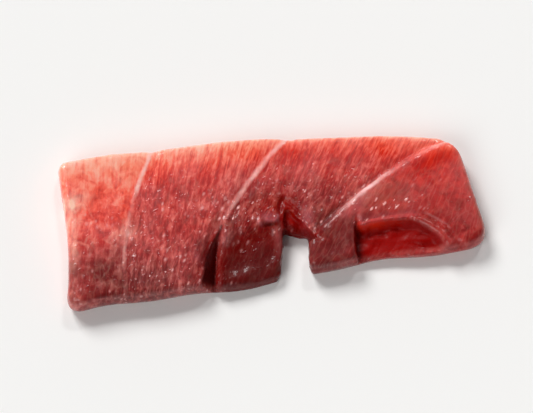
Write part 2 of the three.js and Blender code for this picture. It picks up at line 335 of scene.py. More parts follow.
def slab():
    """The whole slab, uncut: points and faces."""
    u, v = np.meshgrid(np.linspace(0, 1, ALONG + 1), np.linspace(0, 1, ACROSS + 1), indexing="ij")
    index = np.arange(u.size).reshape(u.shape)
    rim = np.concatenate([index[:-1, 0], index[-1, :-1], index[:0:-1, -1], index[0, :0:-1]])
    points, faces, rings = [], [], []
    levels = side_levels()
    start = 0
    for n, (inset, height) in enumerate(levels):
        whole = n in (0, len(levels) - 1)
        at = slice(None) if whole else rim
        x, y = plan(u.ravel()[at], v.ravel()[at], inset)
        points.append(np.column_stack([x, y, height(rolled_face(x, y))]))
        rings.append(rim + start if whole else np.arange(rim.size) + start)
        if whole:
            a, b, c, d = (index[:-1, :-1], index[1:, :-1], index[1:, 1:], index[:-1, 1:])
            quads = np.column_stack([k.ravel() for k in ((a, b, c, d) if n == 0 else (a, d, c, b))])
            faces.append(quads + start)
        start += len(x)
    for upper, lower in zip(rings, rings[1:]):
        faces.append(np.column_stack([upper, lower, np.roll(lower, -1), np.roll(upper, -1)]))
    return np.concatenate(points), np.concatenate(faces).tolist()


def smooth_run(points, each=CURVE_STEPS):
    """Points on a smooth curve through the ones given."""
    known = np.array([points[0], *points, points[-1]], float)
    run = []
    for a, b, c, d in zip(known, known[1:], known[2:], known[3:]):
        for t in np.arange(each) / each:
            pull_b, pull_c = (c - a) / 2, (d - b) / 2
            run.append(
                (2 * b - 2 * c + pull_b + pull_c) * t**3
                + (3 * c - 3 * b - 2 * pull_b - pull_c) * t**2
                + pull_b * t
                + b
            )
    return np.array([*run, known[-1]])


def cutter(outline, anchor=(0, 0), floor=-CUTTER_OVERHANG, share=1, tilt=(0, 0), bulge=0):
    """A ragged cutting block. Its outline is true at full thickness and draws in towards anchor below."""
    anchor = np.array(anchor)
    centre = outline.mean(axis=0)
    count = len(outline)
    rings = []
    # The floor closes inwards in rings, which leave it uneven
    for inwards in (0.25, 0.5, 0.75):
        rings.append((centre + inwards * (outline - centre), floor, share))
    for z in np.linspace(floor, THICKNESS + CUTTER_OVERHANG, CUTTER_LEVELS):
        rings.append((outline, z, share + (1 - share) * (z - floor) / (THICKNESS - floor)))
    points = []
    for ring, z, drawn in rings:
        ring = anchor + drawn * (ring - anchor)
        x, y = ring.T
        swings = [
            wander(x, y, z, RAGGED["coarse"], seed) + 0.6 * wander(x, y, z, RAGGED["fine"], seed + 5)
            for seed in (3, 21)
        ]
        level = z + (ring - anchor) @ np.array(tilt)
        if z == floor:
            level += FLOOR_ROUGHNESS * wander(x, y, 0, FLOOR_LUMPS, seed=50)
            level += bulge * bell(np.hypot(*(ring - centre).T) / BULGE_REACH)
        points.append(np.column_stack([ring + RAGGED["swing"] * np.column_stack(swings), level]))
    faces = [list(range(count))[::-1], [(len(rings) - 1) * count + k for k in range(count)]]
    for n in range(len(rings) - 1):
        for k in range(count):
            m = (k + 1) % count
            faces.append([n * count + k, n * count + m, (n + 1) * count + m, (n + 1) * count + k])
    return np.concatenate(points), faces


def put_in(name, data):
    """Puts a mesh, light or camera in the scene as an object."""
    thing = bpy.data.objects.new(name, data)
    bpy.context.scene.collection.objects.link(thing)
    return thing


def make_object(name, points, faces):
    mesh = bpy.data.meshes.new(name)
    mesh.from_pydata(points.tolist(), [], faces)
    mesh.validate()
    return put_in(name, mesh)


def baked_mesh(thing):
    """The object's shape with its modifiers worked in, as a plain mesh."""
    bpy.context.view_layer.update()
    solved = thing.evaluated_get(bpy.context.evaluated_depsgraph_get())
    return bpy.data.meshes.new_from_object(solved)


def points_of(mesh):
    flat = np.empty(len(mesh.vertices) * 3)
    mesh.vertices.foreach_get("co", flat)
    return flat.reshape(-1, 3)


def relaxed(points, mesh, times):
    """Points drawn towards the middle of their neighbours, which takes the remeshed steps away."""
    ends = np.empty(len(mesh.edges) * 2, int)
    mesh.edges.foreach_get("vertices", ends)
    ends = ends.reshape(-1, 2)
    count = np.bincount(ends.ravel(), minlength=len(points))[:, None]
    for _ in range(times):
        total = np.zeros_like(points)
        np.add.at(total, ends[:, 0], points[ends[:, 1]])
        np.add.at(total, ends[:, 1], points[ends[:, 0]])
        points = 0.5 * points + 0.5 * total / count
    return points


def cut_slab():
    """The slab with its tears cut and its skin remade in even small faces."""
    whole = make_object("slab", *slab())
    cuts = []
    run = smooth_run(NOTCH, CUT_STEPS)
    run = np.concatenate([[[run[0][0], -CUTTER_OVERHANG]], run, [[run[-1][0], -CUTTER_OVERHANG]]])
    cuts.append(make_object("cut", *cutter(run[::-1])))
    for hollow in HOLLOWS:
        run = smooth_run(hollow["outline"], CUT_STEPS)
        cuts.append(make_object("cut", *cutter(**{**hollow, "outline": run[::-1]})))
    for cut in cuts:
        join = whole.modifiers.new("part", "BOOLEAN")
        join.operation = "DIFFERENCE"
        join.solver = "MANIFOLD"
        join.object = cut
    skin = whole.modifiers.new("skin", "REMESH")
    skin.mode = "VOXEL"
    skin.voxel_size = SKIN_CELL
    mesh = baked_mesh(whole)
    for thing in (whole, *cuts):
        bpy.data.objects.remove(thing)
    return mesh


def inside(outline, x, y):
    """Whether points lie within a closed outline."""
    hit = np.zeros(x.shape, bool)
    for (ax, ay), (bx, by) in zip(outline, np.roll(outline, -1, axis=0)):
        crosses = (ay > y) != (by > y)
        with np.errstate(divide="ignore", invalid="ignore"):
            hit ^= crosses & (x < ax + (y - ay) * (bx - ax) / (by - ay))
    return hit


def away_from(outline, x, y):
    """Distance to an open run of points."""
    best = np.full(x.shape, 1e9)
    for (ax, ay), (bx, by) in zip(outline, outline[1:]):
        t = clamp01(((x - ax) * (bx - ax) + (y - ay) * (by - ay)) / ((bx - ax) ** 2 + (by - ay) ** 2))
        best = np.minimum(best, np.hypot(x - ax - t * (bx - ax), y - ay - t * (by - ay)))
    return best


SINEW_LEAN = 0.45  # a sinew's sideways run for each mm down through the slice
# How the fibres lean along the slice, in degrees from the X axis where they cross its middle
FIBRE_LEAN = ((0, 79), (20, 74), (40, 68), (55, 63), (75, 57), (95, 54), (113, 62))
FIBRE_MIDDLE = 20
FIBRE_TRIES = 6


def across_fibres(x, y):
    """Place across the fibres: where a point's own fibre crosses the middle of the slice."""
    middle = x
    for _ in range(FIBRE_TRIES):
        lean = np.radians(np.interp(middle, *zip(*FIBRE_LEAN)))
        middle = x - (y - FIBRE_MIDDLE) / np.tan(lean)
    return middle


def near(measure, middle, reach):
    """A limit that counts 1 where a measure is at its middle, and fades out over the reach."""
    return lambda at: bell((getattr(at, measure) - middle) / reach)


def grows(measure, none_at, full_at, least=0.0):
    """A limit that counts least where a measure is none_at, and softly more up to 1 where it is full_at."""
    return lambda at: grow(getattr(at, measure), none_at, full_at, least)


def spot(x, y, along, across):
    """The limits of a soft spot on the slice: its middle, and its reach along and across."""
    return near("x", x, along), near("y", y, across)


def share(at, *limits):
    """How far each point lies within all of the limits, from 0 to 1."""
    return math.prod(limit(at) for limit in limits)


def spots(at, patches):
    """Sum of soft spots, each with its amount, place, and reach along and across."""
    return sum(amount * share(at, *spot(*where)) for amount, *where in patches)


def added(places, amounts):
    return sum(amount * places[name] for name, amount in amounts.items())


# Painted shade runs as a dark line up the middle of the slit, and another up the left side of the throat
# above the notch
SLIT_LINE = [(36.0, 6), (36.9, 8.7), (38.3, 10.7), (39.9, 12.8), (41.1, 14.4), (42, 16)]
SLIT_HALF_WIDTH = ((7, 1.5), (9, 1.3), (11, 0.9), (13, 0.6), (16, 0.4))  # by place across the slice
SLIT_EDGE = 0.6
THROAT_LINE = [(58.7, 12), (58.9, 17), (59.5, 21)]

UPPER_SIDE = grows("z", 3, 7)
RIGHT_SEGMENT = grows("segment", 2, 3)
BEHIND_WALL = grows("from_low", 0.4, 2)
SUNK = grows("below", 0.3, 1.4)
GROOVE_RUN = (grows("x", 65, 68), grows("x", 88, 80), grows("x", 79, 75, least=0.35))

# Places that differ from the flesh around them, each with its limits
PLACES = {
    # Low on the right and the left the flesh takes painted shade
    "low right": (grows("y", 14, 8), RIGHT_SEGMENT, grows("x", 90, 70)),
    "low left": (grows("y", 17, 5), grows("x", 30, 22), grows("x", 2, 8)),
    "lowest left": (grows("y", 12, 7), grows("x", 34, 28)),
    "left of second sinew": (near("by_second", -2.2, 1.1),),
    "left of third foot": (near("by_third", -2.4, 1.4), grows("x", 90, 82)),
    "right of third foot": (near("by_third", 2.2, 1.8), grows("x", 84, 79), grows("y", 11, 14)),
    "right of third sinew": (near("from_top", 4, 3), near("segment", 2, 1)),
    "right middle": (RIGHT_SEGMENT, grows("x", 80, 88), grows("y", 21, 17)),
    # Painted light on the rolled rim above the scoop
    "painted light above scoop": (
        near("by_scoop", 0, 1.2), grows("y", 9, 10.5), grows("x", 97, 94), grows("x", 78.5, 80),
    ),
    "under right rim": (near("from_top", 3.5, 2.5), grows("x", 74, 80), grows("x", 106, 100)),
    "upper wall": (grows("deep", 1, 5), near("from_top", 0, 5)),
    "upper rim": (near("from_top", 0, 0.9), UPPER_SIDE),
    "left rim": (near("from_left", 1.2, 1.5), grows("y", 33, 25), grows("y", 8, 18, least=0.2)),
    "right rim": (near("from_right", 0, 1.4),),
    # A painted sheen right of the third sinew
    "right sheen": (*spot(85, 18.5, 7, 4), RIGHT_SEGMENT),
    "first sinew's top": (near("x", 16.2, 0.9), grows("y", 31, 36), UPPER_SIDE),
    "left of slit": spot(34, 8, 1, 1.7),
    # The lobe right of the throat takes a painted highlight
    "highlit lobe": spot(65.4, 14.8, 1.6, 3),
    "tongue's right": (near("x", 57, 1.3), grows("y", 15.5, 12.5)),
    "tongue's left": (near("along_slit", 40.4, 1.3), grows("y", 9, 12), grows("y", 15.5, 12.5)),
    "sunk tongue": (grows("tongue", 0.1, 0.7),),
    "deep tongue": (grows("tongue", 0.3, 0.9),),
    "slit floor": (grows("in_slit", 0, 1), SUNK, BEHIND_WALL),
    "throat floor": (grows("in_throat", 0, 1), SUNK, BEHIND_WALL),
    "scoop floor": (grows("in_scoop", 0, 1), SUNK, BEHIND_WALL),
    "notch wall": (grows("by_notch", 2.24, 0.84), grows("below", 1.2, 2.7)),
    "slit": (near("half_slits", 0, 1), BEHIND_WALL),
    "slit and edges": (near("edged_slits", 0, 1), BEHIND_WALL),
    "past throat": spot(60.7, 18.6, 2.4, 2.4),
    "throat line": (near("by_throat_line", 0, 1),),
    "groove": (near("by_third", -1.0, 0.6), *GROOVE_RUN),
    "groove and sides": (near("by_third", -1.2, 1.1), *GROOVE_RUN),
    "scoop rim": (near("by_scoop", 0, 1.6),),
}

# Leanness of each segment's flesh by how many mm it lies below the upper edge, from white fat at 0.
# The darkening towards the lower edge is partly leaner flesh and partly painted shade
LEANNESS_AND_SHADE = (
    ((0, 0.02), (2, 0.08), (4, 0.13), (8, 0.2), (15, 0.26), (22, 0.34), (28, 0.63), (33, 0.7), (42, 0.7)),
    ((0, 0.05), (2, 0.14), (4, 0.22), (6, 0.27), (8, 0.38), (11, 0.46), (16, 0.52), (22, 0.57), (38, 0.67)),
    ((0, 0.08), (2, 0.28), (4, 0.39), (6, 0.45), (8, 0.49), (11, 0.54), (14, 0.66), (18, 0.76), (22, 0.82)),
    ((0, 0.1), (2, 0.24), (4, 0.34), (7, 0.44), (10, 0.49), (14, 0.56), (18, 0.62), (24, 0.7)),
)
# How much leaner the flesh is in some of the places. Low on the left and right and in the sunk tongue it is
# darker as painted shade. Above the scoop it is lighter as painted light, on the lobe right of the throat as
# painted highlight, and left of the slit partly as painted sheen
LEANER_AND_SHADED = {
    "low right": 0.22, "low left": 0.2, "left of slit": -0.08, "highlit lobe": -0.05, "left of second sinew": 0.13,
    "left of third foot": -0.1, "right of third foot": -0.07, "painted light above scoop": -0.1,
    "under right rim": -0.05, "upper wall": 0.12, "soaked and shaded": 0.32,
}
# Leaner and fattier patches: how much leaner, place, and reach along and across the slice
LEAN_PATCHES = (
    (0.05, 61, 32.5, 3.5, 3), (0.16, 35.4, 10.6, 3, 2.6), (0.2, 69.5, 12.5, 4, 3.2), (-0.07, 79, 20, 4, 4),
    (-0.06, 21, 12, 4.5, 5), (0.05, 12, 23, 5, 5), (0.06, 7, 9, 5, 3), (-0.04, 65, 29.5, 4, 3),
    (-0.05, 94, 29, 4, 2.5), (-0.04, 94, 21, 4, 3), (0.04, 32, 28, 7, 4), (-0.03, 27, 11, 7, 4),
)

# Fat between the fibres: a pale rim along the upper edge and the ends, partly fat and partly painted
# highlight where the rims catch the light, a pale painted sheen right of the third sinew, and a thick patch
# at the left
FATTER_AND_HIGHLIT = {
    "upper rim": 0.55, "left rim": 0.42, "right rim": 0.14, "right sheen": 0.14,
    "first sinew's top": 0.28, "upper tongue sides": 0.05,
}
FAT_PATCHES = (
    (1.2, 1.1, 28.8, 2.21, 1.7), (0.4, 4.4, 29.4, 3.12, 2.4), (0.3, 6, 31, 2.34, 1.8),
    (0.4, 2.9, 23.7, 1.69, 1.3), (0.3, 16, 18.6, 2.34, 1.8),
)
# Flecks of fat, partly painted glints, are thickest near the inner ends of the tears
FLECK_AND_GLINT_CLUSTERS = ((1.2, 47.5, 18.5, 5, 3), (1.0, 67, 15.5, 5, 3), (2.2, 79, 13.5, 5, 3), (2.0, 88, 15, 5, 3))

# Where the flesh has torn it is wetter and a deeper red, it holds painted shade, and its film is sheltered
# from the room: how much of each, from 0 to 1. The painted shade darkens the narrow places, the notch walls,
# the crease under the lip, the sunk tongue, the groove beside the proud segment and the lowest left corner
TEARS = {
    "notch wall": (0.8, 0.5, 0.5), "soaked and shaded": (0.62, 0, 0.35), "deep tongue": (0, 0.6, 0),
    "crease": (0.6, 0.75, 1), "slit": (0, 0.82, 0), "slit and edges": (0.7, 0, 0.95),
    "slit floor": (0.95, 0.85, 1), "throat floor": (0.75, 0, 1), "throat shade": (0, 1, 0),
    "throat line": (0.7, 0.35, 0.8), "past throat": (0.5, 0.14, 0), "scoop floor": (0.97, 0, 1),
    "scoop shade": (0, 1, 0), "groove": (0, 0.2, 0), "groove and sides": (0, 0, 0.9),
    "torn rims": (0, 0, 0.6), "lowest left": (0, 0.05, 0),
}
# The rims of the tears are sheltered too, above all past the throat's inner end
RIM_SPOTS = ((1, 70, 11.5, 4, 3), (1.6, 60.7, 18.6, 3, 3), (1, 67.5, 8, 2.5, 2.5))
# Painted light where the flesh bulges at the scoop's upper rim, most at its left
PAINTED_SCOOP_LIGHT_ALONG = ((78, 0), (79.5, 0.95), (84, 0.9), (87, 0.45), (93, 0.3))

# Flesh that is paler, partly thin flesh and partly painted highlight on the curled rims, the lip, the
# tongue's sides and the lobe, painted light above the scoop and painted sheen left of the slit; and flesh
# that holds more blood
PALER_AND_HIGHLIT = {"highlit lobe": 0.2, "right of third foot": 0.1, "left of slit": 0.1, "painted light above scoop": 0.12}
CURLED_AND_HIGHLIT = {"rim": 0.27, "lip": 0.2, "tongue sides": 0.14}
LIP_MIDDLE = near("x", 55, 3)
VIVID = {"right of third sinew": 0.25, "right middle": 0.2, "tongue sides": 0.15}
VIVID_PATCHES = ((0.35, 101, 24.5, 8, 4), (0.9, 55, 17, 9, 6))

# What differs from segment to segment, from the left one to the right one, and within its limits
BY_SEGMENT = {
    "fringe": ((0.2, 0.19, 0.08, 0.12), near("from_top", 0, 3.5)),
    "veined": ((0.55, 0.2, 0.2, 0.1), grows("y", 12, 18, least=0.35)),
    "streaky": ((0.45, 1, 0.9, 0.25), grows("from_top", 8, 20, least=0.6)),
    "combed": ((0.5, 1.25, 1.0, 0.5), grows("from_top", 20, 8)),
    "mottled": ((1.35, 0.55, 0.85, 1.3), grows("from_top", 3, 12, least=0.6)),
    "pebbled": ((0.55, 0.8, 1.0, 0.5), grows("from_top", 5, 15, least=0.25)),
    "flecked": ((0.4, 0.8, 0.9, 0.35),),
}
FLECKED_DEPTH = grows("from_top", 8, 16)  # flecks of fat and their painted glints are only in the lower part
PINKNESS = ((0.4, 0.75), (0.85, 0.4))  # by leanness

# A sinew's white ends sharply on one side where the next segment overlaps it: sharpness left and right
SINEW_SHARPNESS = ((1, 1), (0.9, 1.3), (2.0, 0.75))
# How white each sinew is along its length, counted across the slice or along it. The whitest spots are
# partly painted highlight where a sinew's ridge catches the light
SINEW_WHITENESS_AND_HIGHLIGHT = (
    ("y", (
        (8, 0.06), (11, 0.25), (13, 0.38), (17, 0.22), (20, 0.42), (24, 0.22),
        (27, 0.16), (29, 0.42), (31, 1.0), (33, 0.75), (38, 0.9),
    )),
    ("y", ((14, 0), (18, 0.16), (22, 0.43), (26, 0.55), (29, 0.85), (32, 0.5), (35, 0.75), (38, 1.0))),
    ("leaned", (
        (69, 0), (72, 0.03), (74, 0.08), (76, 0.4), (80, 0.66), (83, 1.05),
        (86, 0.85), (90, 0.45), (93, 0.13), (97, 0.06), (105, 0.45),
    )),
)


def measured(points):
    """Where each point lies, by every measure that the limits go by."""
    x, y, z = points.T
    deep = THICKNESS - z
    leaned = x + SINEW_LEAN * deep
    from_slit = away_from(SLIT_LINE, x, y)
    half = np.interp(y, *zip(*SLIT_HALF_WIDTH))
    return SimpleNamespace(
        x=x, y=y, z=z, deep=deep, leaned=leaned, segment=segment_number(leaned, y),
        from_top=high_edge(x) - y, from_low=y - low_edge(x),
        from_left=x - left_end(y), from_right=right_end(y) - x,
        below=face_height(x, y) - z, tongue=tongue_share(x, y), along_slit=x - TONGUE_RIM["left_lean"] * y,
        by_second=beside(second_sinew, x, y), by_third=beside(third_sinew, x, y),
        by_notch=away_from(smooth_run(NOTCH), x, y), by_scoop=away_from(smooth_run(SCOOP), x, y),
        by_throat_line=away_from(THROAT_LINE, x, y),
        half_slits=from_slit / half, edged_slits=from_slit / (half + SLIT_EDGE),
        in_slit=inside(smooth_run(SLIT), x, y), in_throat=inside(smooth_run(THROAT), x, y),
        in_scoop=inside(smooth_run(SCOOP), x, y),
    )


def places_on(at):
    """How far each point lies in each of the places."""
    places = {name: share(at, *limits) for name, limits in PLACES.items()}
    places["lip"], places["crease"] = curled_lip(at.x, at.y)
    places["rim"] = curled_rim(at.x, at.y)
    places["tongue sides"] = np.maximum(places["tongue's right"], 0.75 * places["tongue's left"])
    places["upper tongue sides"] = places["tongue sides"] * UPPER_SIDE(at)
    # The sunk tongue is wetter and darker, the darkness painted shade, less of it at its sides
    places["soaked and shaded"] = places["sunk tongue"] * (1 - 0.6 * places["tongue sides"])
    places["torn rims"] = places["scoop rim"] + spots(at, RIM_SPOTS)
    left_wall = 0.35 * share(at, near("x", 59, 1.2), grows("y", 16, 13))
    throat = grow(at.y, 19, 14) * (0.1 + left_wall + 0.3 * grow(at.y, 12.5, 8.5))
    scoop = 0.6 * share(at, near("x", 77.4, 1.1)) + 0.2 * grow(at.x, 90, 96)
    places["throat shade"] = throat * places["throat floor"]
    places["scoop shade"] = scoop * places["scoop floor"]
    return places


def leanness_and_shade(at, places):
    """Leaner and darker away from the belly's fatty side, which is the upper edge and the left end.
    Part of the darkening towards the lower edge is painted shade.
    """
    levels = np.array([np.interp(at.from_top, *zip(*profile)) for profile in LEANNESS_AND_SHADE])
    lower = np.clip(at.segment.astype(int), 0, len(LEANNESS_AND_SHADE) - 2)
    each = np.arange(len(at.x))
    lean = levels[lower, each] + (at.segment - lower) * (levels[lower + 1, each] - levels[lower, each])
    return lean + added(places, LEANER_AND_SHADED) + spots(at, LEAN_PATCHES)


def curled(at, places):
    """Where the lip's curled rims and other thin places are pale: partly thin flesh, and partly painted
    highlight, painted light and painted sheen.
    """
    parts = {**places, "lip": places["lip"] * LIP_MIDDLE(at)}
    out_of_crease = 1 - clamp01(1.5 * places["crease"])
    return UPPER_SIDE(at) * added(parts, CURLED_AND_HIGHLIT) * out_of_crease + added(places, PALER_AND_HIGHLIT)


def sinew_facts(at):
    """How far each point is from each sinew, and how white the sinew is beside it, partly as painted
    highlight.
    """
    apart = []
    for sinew, (left, right) in zip(SINEWS, SINEW_SHARPNESS):
        off = beside(sinew, at.leaned, at.y)
        apart.append(off * np.where(off < 0, left, right))
    white = [np.interp(getattr(at, measure), *zip(*profile)) for measure, profile in SINEW_WHITENESS_AND_HIGHLIGHT]
    return np.column_stack(apart) * MM, np.column_stack(white)


def flesh_facts(points):
    """What the flesh is like at each point, for its relief and its looks."""
    at = measured(points)
    places = places_on(at)
    segment = {}
    for name, (values, *limits) in BY_SEGMENT.items():
        segment[name] = np.interp(at.segment, range(len(values)), values) * share(at, *limits)
    lean = leanness_and_shade(at, places)
    torn, painted_shade, sheltered = [
        np.max([amounts[n] * places[name] for name, amounts in TEARS.items()], axis=0) for n in range(3)
    ]
    whole = 1 - torn
    flecks = segment["flecked"] + spots(at, FLECK_AND_GLINT_CLUSTERS)
    sinews, sinew_white_and_highlight = sinew_facts(at)
    pinkness = np.interp(lean, *zip(*PINKNESS)) * (1 - 0.4 * torn)
    return {
        "grain": np.column_stack([across_fibres(at.x, at.y), at.y, at.deep]) * MM,
        "sinews": sinews,
        "sinew_white_and_highlight": sinew_white_and_highlight,
        "lean": lean,
        "fat": segment["fringe"] + added(places, FATTER_AND_HIGHLIT) + spots(at, FAT_PATCHES),
        "torn": torn,
        "painted_shade": painted_shade,
        "painted_scoop_light": places["scoop floor"] * grow(at.y, 8, 10.4) * np.interp(at.x, *zip(*PAINTED_SCOOP_LIGHT_ALONG)),
        "curled": curled(at, places),
        "vivid": added(places, VIVID) + spots(at, VIVID_PATCHES),
        "veined": segment["veined"] * whole,
        "streaky": segment["streaky"] * (1 - 0.35 * torn),
        "combed": segment["combed"],
        "mottled": segment["mottled"],
        "pinkness": pinkness * (1 - 0.85 * RIGHT_SEGMENT(at)),
        "flecked": flecks * FLECKED_DEPTH(at) * whole,
        "pebbled": segment["pebbled"],
        "sheltered": sheltered,
    }


def add_node(tree, kind, inputs=(), **settings):
    """Adds a node with its settings and gives its outputs. An input is a value, or an output to link.
    A kind without the word Node is one of the shader's."""
    made = tree.nodes.new(kind if "Node" in kind else "ShaderNode" + kind)
    for name, value in settings.items():
        setattr(made, name, value)
    for key, value in dict(inputs).items():
        if isinstance(value, bpy.types.NodeSocket):
            tree.links.new(value, made.inputs[key])
        else:
            made.inputs[key].default_value = value
    return made.outputs


def linear(hex_colour):
    """An sRGB hex value as the linear colour that a shader takes."""
    parts = [int(hex_colour[k : k + 2], 16) / 255 for k in (1, 3, 5)]
    return (*[c / 12.92 if c <= 0.04045 else ((c + 0.055) / 1.055) ** 2.4 for c in parts], 1.0)


# The flesh's soft random patterns: size in mm, detail, and distortion
PATTERNS = {
    "cloud": (7, 3, 0), "mottles": (3, 3, 0.8), "bends": (5, 3, 0), "clusters": (6, 1, 0),
    "blush": (10, 2, 0.5), "wobble": (3, 2, 0), "patches": (2.5, 3, 0), "pebbles": (1.1, 1, 0),
}
# Streaks along the grain: spacing, length and depth in mm. Fibres are drawn a little coarser than real
STREAKS = {
    "bundles": (1.9, 5.0, 4), "strands": (1.1, 2.7, 2.7), "fibres": (0.55, 1.5, 1.5), "comb": (0.9, 11.0, 6),
}
# Cells along the grain, with fat round them or a fleck in them: size in mm, bend, randomness, and
# where their distance is measured from
CELLS = {
    "vein cells": ((5, 8, 8), 1.1, 0.95, "DISTANCE_TO_EDGE"),
    "hair cells": ((1.7, 6, 4), 1.2, 1.0, "DISTANCE_TO_EDGE"),
    "fleck cells": ((1.5, 1.9, 2), 0.9, 1.0, "F1"),
}
# What is made of a pattern or a fact: its two limits, and what it gives at each
RANGES = {
    "veins": ("vein cells", 0, 0.12, 1, 0),
    "hairs": ("hair cells", 0, 0.13, 1, 0),
    "fleck reach": ("fleck chance", 0.2, 1, 0.05, 0.55),
    "dots": ("fleck cells", 0, "fleck reach", 1, 0),
    "clustered": ("clusters", 0.54, 0.7, 0, 1),
    "fading": ("cloud", 0.4, 0.62, 0, 1),
    "breaks": ("bundles", 0.3, 0.7, 0.3, 1.4),
    "flush": ("blush", 0.35, 0.75, 0.97, 1.05),
    "sway": ("wobble", 0, 1, -0.6 * MM, 0.6 * MM),
    "patchy": ("patches", 0.3, 0.65, 0.55, 1.2),
    "beads": ("pebbles", 0.56, 0.74, 0, 1),
    "roughness": ("cloud", 0.35, 0.65, 0.5, 0.36),
    # Inside the tears the wet film mirrors other flesh and not the room
    "wet film": ("sheltered", 0, 1, 0.75, 0.04),
}
SOFT_ENDED = ("dots", "clustered", "fading", "beads")
# What is cut down, and by what
CUT_DOWN = (
    ("fat", "breaks"), ("veins", "veined"), ("veins", "fading"), ("hairs", "strands"), ("hairs", "whole"),
    ("flecks", "clustered"), ("pebbles", "pebbled"), ("beads", "pebbled"),
)
CLUSTER_LIFT = 0.18  # how much more the clusters hold where the flesh is flecked

# How strongly the patterns show
STREAK_WEIGHTS = {"bundles": 1.0, "strands": 1.6, "fibres": 0.45}
CLOUD_WEIGHT = 0.35
LEAN_SWING = -0.35  # how far streaks and clouds move the leanness
SOLIDNESS = -0.5  # how far they darken the solid muscle
LINE_WEIGHTS = {"veins": 0.4, "hairs": 0.1}
VIVIDNESS = 0.15

# From white fat to the leanest muscle; the darker shades also carry painted shade
LEAN_SHADES = (
    (0.0, "#fdb9a0"), (0.12, "#fc8c73"), (0.25, "#f36352"), (0.38, "#da473f"), (0.5, "#c33c39"),
    (0.62, "#ae3937"), (0.74, "#972d2c"), (0.86, "#822524"), (1.0, "#691a1a"),
)
FATTY_SHADE = "#f6a79b"
SOLID_SHADE = "#70100e"
# Torn flesh, painted shade, painted light on the scoop's back wall, and pale curled rims that are partly
# painted highlight
TORN_SHADES = {"torn": "#920503", "painted_shade": "#320303", "painted_scoop_light": "#e24032", "curled": "#ec98a0"}
# Fat, also laid on as painted highlight along the rims and as a painted sheen
FAT_AND_HIGHLIGHT_SHADE = "#fdc2ac"
# Flecks of fat, partly painted glints
FLECK_AND_GLINT_SHADE = "#f2aca8"
# Half width and softness of each sinew in mm, and its shade of white
SINEW_LINES = ((0.1, 0.8, "#fdc0b5"), (0.12, 1.05, "#f9b6ae"), (0.05, 0.95, "#fbc4bf"))

# How high the fine surface stands, in mm: fibres and flecks a little proud, under a pebbled wet film
# that half fills what lies between them
PROUD = {"pebbles": 0.045, "beads": 0.06, "flecks": 0.07, "sinews": 0.03}
FIBRES_PROUD = {"bundles": 0.06, "strands": 0.06, "fibres": 0.02, "comb": 0.03}
FILM_PROUD = {"bundles": 0.03, "strands": 0.02}


def with_swings(tree, total, parts):
    """A total with the swing of each pattern about its middle added, times its weight."""
    for pattern, weight in parts:
        swing = add_node(tree, "Math", {0: pattern, 1: 0.5}, operation="SUBTRACT")[0]
        inputs = {0: swing, 1: weight, 2: total}
        total = add_node(tree, "Math", inputs, operation="MULTIPLY_ADD")[0]
    return total


def painted(tree, colour, layers):
    """A colour with layers of other shades over it, each as thick as its share."""
    for layer, shade in layers:
        inputs = {0: layer, 6: colour, 7: linear(shade)}
        colour = add_node(tree, "Mix", inputs, data_type="RGBA")[2]
    return colour


def add_patterns(tree, flesh):
    """Adds to the flesh's facts every random pattern of it, and what is made of them."""
    place = add_node(tree, "TexCoord")["Object"]
    for name, (size, detail, distortion) in PATTERNS.items():
        inputs = {"Vector": place, "Scale": 1 / (size * MM), "Detail": detail, "Distortion": distortion}
        flesh[name] = add_node(tree, "TexNoise", inputs)["Fac"]
    bends = flesh["bends"].node.outputs["Color"]
    for name, row in {**STREAKS, **CELLS}.items():
        size = row if name in STREAKS else row[0]
        inputs = {0: flesh["grain"], 1: [1 / (side * MM) for side in size]}
        along = add_node(tree, "VectorMath", inputs, operation="MULTIPLY")[0]
        if name in STREAKS:
            inputs = {"Vector": along, "Scale": 1.0, "Detail": 2.0, "Roughness": 0.55, "Distortion": 0.6}
            flesh[name] = add_node(tree, "TexNoise", inputs)["Fac"]
            continue
        bend, randomness, feature = row[1:]
        inputs = {0: bends, 1: (bend, bend, bend), 2: along}
        bent = add_node(tree, "VectorMath", inputs, operation="MULTIPLY_ADD")[0]
        inputs = {"Vector": bent, "Scale": 1.0, "Randomness": randomness}
        flesh[name] = add_node(tree, "TexVoronoi", inputs, feature=feature)["Distance"]
    colours = flesh["fleck cells"].node.outputs["Color"]
    flesh["fleck chance"] = add_node(tree, "SeparateColor", {"Color": colours})[0]
    inputs = {0: flesh["flecked"], 1: CLUSTER_LIFT, 2: flesh["clusters"]}
    flesh["clusters"] = add_node(tree, "Math", inputs, operation="MULTIPLY_ADD")[0]
    for name, values in RANGES.items():
        sockets = ("Value", "From Min", "From Max", "To Min", "To Max")
        inputs = {socket: flesh.get(value, value) for socket, value in zip(sockets, values)}
        kind = "SMOOTHSTEP" if name in SOFT_ENDED else "LINEAR"
        flesh[name] = add_node(tree, "MapRange", inputs, interpolation_type=kind)["Result"]
    inputs = {0: flesh["dots"], 1: flesh["flecked"]}
    flesh["flecks"] = add_node(tree, "Math", inputs, operation="MULTIPLY", use_clamp=True)[0]
    flesh["whole"] = add_node(tree, "Math", {0: 1.0, 1: flesh["torn"]}, operation="SUBTRACT")[0]
    for name, other in CUT_DOWN:
        inputs = {0: flesh[name], 1: flesh[other]}
        flesh[name] = add_node(tree, "Math", inputs, operation="MULTIPLY")[0]


